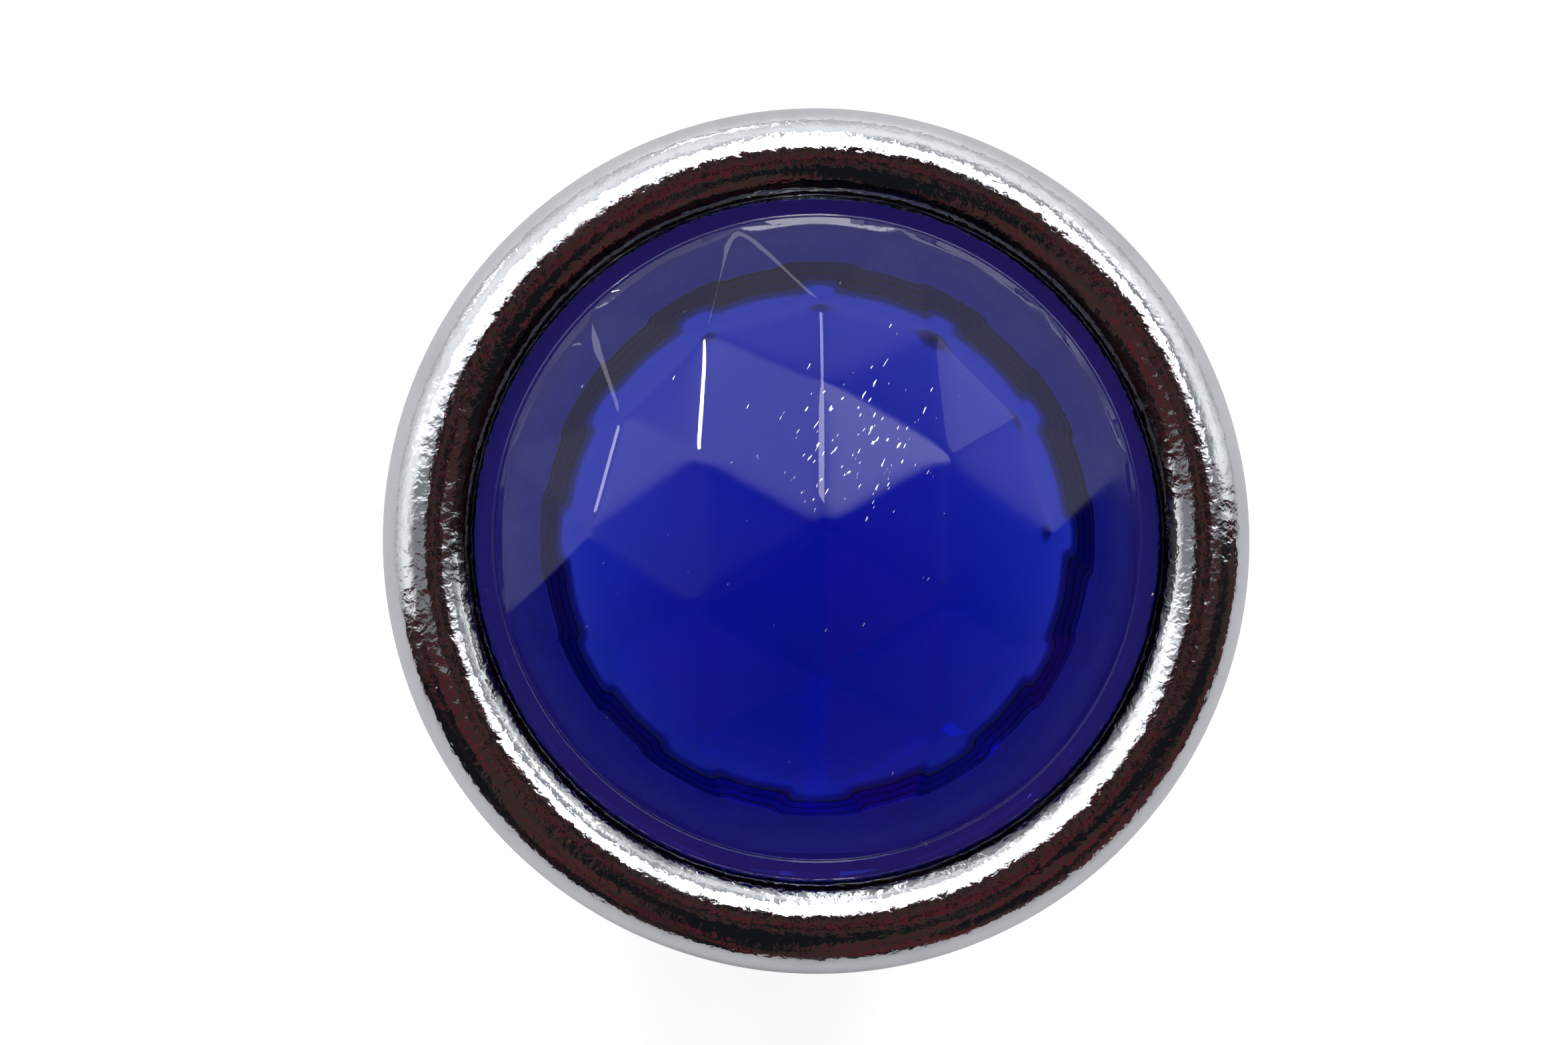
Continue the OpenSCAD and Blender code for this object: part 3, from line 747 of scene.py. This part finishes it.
def build_washer():
    outer, bottom, top = reach("lock_washer")
    inner, low, high = 9.5, bottom + 0.05, top - 0.05
    bm = bmesh.new()
    turned(bm, softened([(inner, low), (outer, low), (outer, high), (inner, high)], 0.1), 192)
    middle = (bottom + top) / 2
    for k in range(16):
        made = bmesh.ops.create_cube(bm, size=1.0)["verts"]
        edges = list({e for v in made for e in v.link_edges})
        bmesh.ops.scale(bm, vec=(1.5, 0.8, 0.3), verts=made)
        rounded = bmesh.ops.bevel(bm, geom=edges, offset=0.07, segments=2, affect="EDGES", profile=0.5)
        whole = list({v for f in rounded["faces"] for v in f.verts} | {v for v in made if v.is_valid})
        place = (Matrix.Rotation(TURN * k / 16, 4, "Z") @ Matrix.Translation((9.25, 0, middle))
                 @ Matrix.Rotation(math.radians(10), 4, "X"))
        bmesh.ops.transform(bm, matrix=place, verts=whole)
    return finish_mesh("lock_washer_steel", bm, "washer", "spring_steel", ("lock_washer",))


# ---------------------------------------------------------------------------
# Lamp and contact spring
# ---------------------------------------------------------------------------
def build_lamp_glass():
    outer, bottom, top = reach("lamp_glass")
    bm = bmesh.new()
    dome = top - outer
    neck = 4.15
    outside = arc((0, dome), outer, 90, 0, 28)
    outside += [(outer, dome - 2), (outer, dome - 5), (outer, dome - 7.1)]
    outside += [(outer - 0.5 * (outer - neck) * (1 - math.cos(math.pi * k / 8)), dome - 7.1 - 1.6 * k / 8)
                for k in range(1, 9)]
    outside += [(neck, bottom + 0.3), (neck - 0.1, bottom + 0.08), (neck - 0.25, bottom)]
    wall = 0.5
    inside = [(max(0.0, r - wall), z) for r, z in reversed(outside[29:-3])]
    inside = [(neck - wall + 0.1, bottom), (neck - wall, bottom + 0.15)] + inside
    inside += arc((0, dome), outer - wall, 0, 90, 28)
    turned(bm, outside + inside, 128, closed=False)
    return finish_mesh("lamp_bulb", bm, "lamp", "clear_glass", ("lamp_glass",), weighted=False)


def build_lamp_base():
    outer, bottom, top = reach("lamp_base")
    wall, opening = 0.3, 3.0
    corners = [(outer - wall, top, 0.06), (outer, top, 0.14), (outer, bottom + 0.6, 0.5),
               (outer - 0.6, bottom, 0.3), (opening, bottom, 0.1), (opening, bottom + wall, 0.1),
               (outer - 0.75, bottom + wall, 0.3), (outer - wall, bottom + 0.8, 0.3)]
    bm = bmesh.new()
    turned(bm, softened(corners), 128)
    for z in (top - 1.6, top - 2.3):
        turned(bm, arc((outer - 0.12, z), 0.2, -60, 60, 6), 128, closed=False)
    return finish_mesh("lamp_base_brass", bm, "lamp", "bare_brass", ("lamp_base",))


def build_lamp_pins():
    low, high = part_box("lamp_pins")
    z, tip, radius = (low.z + high.z) / 2 / MM, high.y / MM, (high.z - low.z) / 2 / MM
    root = 4.35
    bm = bmesh.new()
    outline = softened([(0, root, 0), (radius, root, 0.05), (radius, tip, 0.28), (0, tip, 0)], steps=6)
    turned(bm, outline, 40, closed=False)
    outward = Matrix.Translation((0, 0, z)) @ Matrix.Rotation(math.radians(-90), 4, "X")
    bmesh.ops.transform(bm, matrix=outward, verts=bm.verts)
    copy = bmesh.ops.duplicate(bm, geom=list(bm.verts) + list(bm.edges) + list(bm.faces))
    turned_over = [v for v in copy["geom"] if isinstance(v, bmesh.types.BMVert)]
    bmesh.ops.transform(bm, matrix=Matrix.Rotation(math.pi, 4, "Z"), verts=turned_over)
    return finish_mesh("lamp_pins_brass", bm, "lamp", "bare_brass", ("lamp_pins",))


def build_filament():
    half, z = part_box("filament")[1].x / MM - 0.06, -3.4
    turns, coil = 9, 0.3
    path = []
    for k in range(turns * 24 + 1):
        a = TURN * k / 24
        path.append((-half + 2 * half * k / (turns * 24), coil * math.cos(a), z + coil * math.sin(a)))
    bm = bmesh.new()
    swept(bm, path, 0.07, 8)
    return finish_mesh("filament_coil", bm, "lamp", "lead_wire", ("filament",), weighted=False)


def build_contact_spring():
    """A coil with closed ends, on a mesh of its own."""
    low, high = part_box("contact_spring")
    wire, radius = 0.22, high.x / MM - 0.22
    bottom, top = low.z / MM + wire + SKIN, high.z / MM - wire - SKIN
    turns, steps = 3.5, 40
    total = int(turns * steps)
    path = []
    for k in range(total + 1):
        share = k / total
        climb = min(1.0, max(0.0, (share - 0.16) / 0.68))
        climb = climb * climb * (3 - 2 * climb) * 0.35 + climb * 0.65
        a = TURN * turns * share
        path.append((radius * math.cos(a), radius * math.sin(a), bottom + (top - bottom) * climb))
    bm = bmesh.new()
    swept(bm, path, wire, 14)
    piece = finish_mesh("contact_spring_wire", bm, "housing", "spring_steel", ("contact_spring",),
                        weighted=False)
    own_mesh(piece)
    return piece


# ---------------------------------------------------------------------------
# Gasket, diffuser, return lug and the CAD pieces that keep their shape
# ---------------------------------------------------------------------------
def build_turned_pieces():
    outer, bottom, top = reach("gasket")
    under = top - SKIN
    section = [(GASKET_BORE, bottom), (outer, bottom), (outer, under), (GASKET_BORE, under)]
    lathe_piece("gasket_rubber", section, "seal", "pale_rubber", "gasket", 160, 0.12)
    outer, bottom, top = reach("diffuser")
    section = [(0, bottom, 0), (outer, bottom, 0.15), (outer, top, 0.2), (0, top, 0)]
    lathe_piece("diffuser_opal", section, "housing", "opal_glass", "diffuser")


def plate(name, outline, hole, thickness, body, material, place, replaced, edge=0.06):
    """A stamped plate with rounded edges and one round hole, drawn flat. place stands it up."""
    curve = bpy.data.curves.new(name, "CURVE")
    curve.dimensions = "2D"
    curve.fill_mode = "BOTH"
    curve.extrude = thickness / 2 - edge
    curve.bevel_depth = edge
    curve.bevel_resolution = 3
    curve.offset = -edge
    (x, y), radius = hole
    angles = [-TURN * k / 40 for k in range(40)]
    round_hole = [(x + radius * math.cos(a), y + radius * math.sin(a)) for a in angles]
    for points in (outline, round_hole):
        spline = curve.splines.new("POLY")
        spline.points.add(len(points) - 1)
        spline.use_cyclic_u = True
        for point, (u, v) in zip(spline.points, points):
            point.co = (u, v, 0, 1)
    maker = bpy.data.objects.new(name, curve)
    bpy.context.scene.collection.objects.link(maker)
    bpy.context.view_layer.update()
    mesh = bpy.data.meshes.new_from_object(maker.evaluated_get(bpy.context.evaluated_depsgraph_get()))
    bpy.data.objects.remove(maker)
    bm = bmesh.new()
    bm.from_mesh(mesh)
    bmesh.ops.transform(bm, matrix=place, verts=bm.verts)
    return finish_mesh(name, bm, body, material, replaced)


def tongue(length, width):
    """The outline of a flat tongue along +X with a round end. Its root end is square."""
    half = width / 2
    points = [(0, half), (0, -half)]
    points += [(length - half + half * math.cos(math.radians(a)), half * math.sin(math.radians(a)))
               for a in range(-90, 91, 10)]
    return points


def build_frame_terminal():
    low, high = (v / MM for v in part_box("frame_terminal"))
    stand = Matrix.Translation(((low.x + high.x) / 2, 0, high.z)) @ Matrix.Rotation(math.radians(90), 4, "Y")
    length = high.z - low.z
    eye = ((length - 1.7, 0), 0.8)
    plate("frame_terminal_lug", tongue(length, high.y - low.y), eye, high.x - low.x, "housing",
          "tinned_brass", stand, ("frame_terminal",))


def soften_cad(node, width=0.1):
    """Rounds the edges of a CAD piece that keeps its shape."""
    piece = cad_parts[node]
    weld = piece.modifiers.new("weld", "WELD")
    weld.merge_threshold = 2e-6
    bevel = piece.modifiers.new("soft_edges", "BEVEL")
    bevel.width = width * MM
    bevel.segments = 3
    bevel.limit_method = "ANGLE"
    bevel.angle_limit = math.radians(40)
    bevel.harden_normals = False
    piece.modifiers.new("even_shading", "WEIGHTED_NORMAL").keep_sharp = True


def paint_cad():
    """Every CAD node takes the built material of its slot."""
    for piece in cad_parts.values():
        for index, material in enumerate(piece.data.materials):
            slot = material.name.split(".")[0]
            if slot in MATERIALS:
                piece.material_slots[index].link = "OBJECT"
                piece.material_slots[index].material = MATERIALS[slot]


build_bezel()
build_jewel()
build_snap_ring()
build_bushing()
build_nut()
build_washer()
build_lamp_glass()
build_lamp_base()
build_lamp_pins()
build_filament()
build_contact_spring()
build_turned_pieces()
build_frame_terminal()
for kept in ("holder_frame", "socket_shell", "live_terminal", "insulator_bush",
             "insulator_washer", "live_rivet", "frame_rivet", "contact_disc", "contact_button"):
    soften_cad(kept)
paint_cad()


# ---------------------------------------------------------------------------
# Floor, light and camera
# ---------------------------------------------------------------------------
def build_floor():
    """Pale paper. The camera sees it a little brighter than the object does."""
    material, tree, shader, where = blank("floor_paper")
    grain = speckle(tree, where, 60, 4.0)
    colour = mixed(tree, grain, (0.60, 0.60, 0.605, 1), (0.64, 0.64, 0.64, 1))
    tree.links.new(colour, shader.inputs["Base Color"])
    shader.inputs["Roughness"].default_value = 0.85
    shader.inputs["Emission Color"].default_value = (1, 1, 1, 1)
    ray = tree.nodes.new("ShaderNodeLightPath").outputs["Is Camera Ray"]
    lift = add(tree, "Math", {"operation": "MULTIPLY"}, _0=ray, _1=0.72)
    tree.links.new(lift.outputs["Value"], shader.inputs["Emission Strength"])
    bm = bmesh.new()
    bmesh.ops.create_grid(bm, x_segments=8, y_segments=8, size=1.6)
    mesh = bpy.data.meshes.new("floor")
    bm.to_mesh(mesh)
    bm.free()
    mesh.materials.append(material)
    floor = bpy.data.objects.new("floor", mesh)
    floor.location.z = cad_bounds[0][2]
    bpy.context.scene.collection.objects.link(floor)


def panel(name, azimuth, elevation, distance, width, height, power, glossy=True):
    """A soft light that faces the object from a direction given in degrees, azimuth counted from +X."""
    light = bpy.data.lights.new(name, "AREA")
    light.shape = "RECTANGLE"
    light.size, light.size_y = width, height
    light.energy = power
    lamp = bpy.data.objects.new(name, light)
    a, e = math.radians(azimuth), math.radians(elevation)
    way = Vector((math.cos(a) * math.cos(e), math.sin(a) * math.cos(e), math.sin(e)))
    lamp.location = way * distance
    lamp.rotation_euler = way.to_track_quat("Z", "Y").to_euler()
    lamp.visible_glossy = glossy
    bpy.context.scene.collection.objects.link(lamp)


def build_world():
    """A bright room on the far side, and a dark one with a warm tint overhead and on the near side.
    The camera itself sees plain pale air behind the object."""
    world = bpy.data.worlds.new("studio")
    bpy.context.scene.world = world
    world.use_nodes = True
    tree = world.node_tree
    way = tree.nodes.new("ShaderNodeTexCoord").outputs["Generated"]
    parts = add(tree, "SeparateXYZ", Vector=way)
    east, north, up = parts.outputs["X"], parts.outputs["Y"], parts.outputs["Z"]

    def leaning(share, direction):
        """A direction's part, leaned towards the east or away from it."""
        node = add(tree, "Math", {"operation": "MULTIPLY_ADD"}, _0=east, _1=share, _2=direction)
        return node.outputs["Value"]

    far_side = between(tree, leaning(-0.12, north), -0.04, 0.08, 0.0, 1.0)
    below_cap = between(tree, leaning(0.05, up), 0.915, 0.955, 1.0, 0.0)
    rising = between(tree, up, 0.0, 0.40, 0.0, 1.0)
    low_wall = mixed(tree, rising, (0.58, 0.60, 0.63, 1), (0.95, 0.96, 0.98, 1))
    wall = mixed(tree, between(tree, up, 0.45, 0.75, 0.0, 1.0), low_wall, (0.22, 0.225, 0.24, 1))
    northern = between(tree, north, 0.12, 0.30, 0.0, 1.0)
    high = between(tree, leaning(-0.16, up), 0.64, 0.72, 0.0, 1.0)
    softbox = add(tree, "Math", {"operation": "MULTIPLY"}, _0=northern, _1=high)
    eastern = between(tree, east, -0.15, 0.15, 0.0, 1.0)
    glare = mixed(tree, eastern, (1.35, 1.38, 1.45, 1), (2.45, 2.5, 2.6, 1))
    bright = mixed(tree, softbox.outputs["Value"], wall, glare)
    patches = add(tree, "TexNoise", Vector=way, Scale=3.2, Detail=2.0).outputs["Fac"]
    embers = add(tree, "TexNoise", Vector=way, Scale=5.5, Detail=2.0).outputs["Fac"]
    glowing = between(tree, embers, 0.46, 0.60, 0.0, 1.0)
    brown = mixed(tree, glowing, (0.042, 0.025, 0.023, 1), (0.085, 0.016, 0.020, 1))
    dark = mixed(tree, between(tree, patches, 0.42, 0.56, 0.0, 1.0), (0.007, 0.008, 0.010, 1), brown)
    lit = add(tree, "Math", {"operation": "MULTIPLY"}, _0=far_side, _1=below_cap)
    room = mixed(tree, lit.outputs["Value"], dark, bright)
    unseen = add(tree, "Background", Color=room, Strength=1.0)
    seen = add(tree, "Background", Color=(0.97, 0.97, 0.975, 1), Strength=1.0)
    ray = tree.nodes.new("ShaderNodeLightPath")
    both = tree.nodes.new("ShaderNodeMixShader")
    tree.links.new(ray.outputs["Is Camera Ray"], both.inputs[0])
    tree.links.new(unseen.outputs[0], both.inputs[1])
    tree.links.new(seen.outputs[0], both.inputs[2])
    tree.links.new(both.outputs[0], tree.nodes["World Output"].inputs["Surface"])


def build_lights():
    """A soft key and fill that light dull surfaces only, and small windows that glint on facet edges."""
    panel("key", 85, 36, 0.8, 0.5, 0.4, 3.2, glossy=False)
    panel("fill", -120, 45, 0.9, 0.9, 0.7, 0.8, glossy=False)
    panel("strip", 88, 52, 0.8, 0.09, 0.5, 0.75)
    panel("west_window", 160, 27, 0.8, 0.035, 0.10, 0.075)
    panel("low_strip", 101, 6, 0.8, 0.24, 0.05, 0.07)
    panel("low_window", 139, 8, 0.8, 0.10, 0.05, 0.035)
    panel("east_window", 46, 34, 0.8, 0.18, 0.16, 0.06)
    panel("window", 122, 42, 0.8, 0.030, 0.14, 0.35)


def build_camera():
    """Looks down on the cap, a little from the south-west, as a macro lens at 0.28 m."""
    outer, _, top = reach("bezel")
    aim = Vector((-0.957, 0.508, top - BEAD_RADIUS)) * MM
    lean = math.radians(4.1)
    way = Vector((-0.474 * math.sin(lean), -0.88 * math.sin(lean), math.cos(lean))).normalized()
    distance, frame_width = 0.28, 45.9 * MM
    camera = bpy.data.cameras.new("camera")
    camera.sensor_width = 36
    camera.lens = 36 * distance / frame_width
    camera.clip_start = 0.01
    view = bpy.data.objects.new("camera", camera)
    view.location = aim + way * distance
    up = Vector((0, 1, 0))
    right = up.cross(way).normalized()
    above = way.cross(right)
    view.matrix_world = Matrix((
        (right.x, above.x, way.x, view.location.x),
        (right.y, above.y, way.y, view.location.y),
        (right.z, above.z, way.z, view.location.z),
        (0, 0, 0, 1),
    ))
    bpy.context.scene.collection.objects.link(view)
    bpy.context.scene.camera = view


build_floor()
build_world()
build_lights()
build_camera()
bpy.context.scene.view_settings.view_transform = "Standard"

bpy.context.view_layer.update()
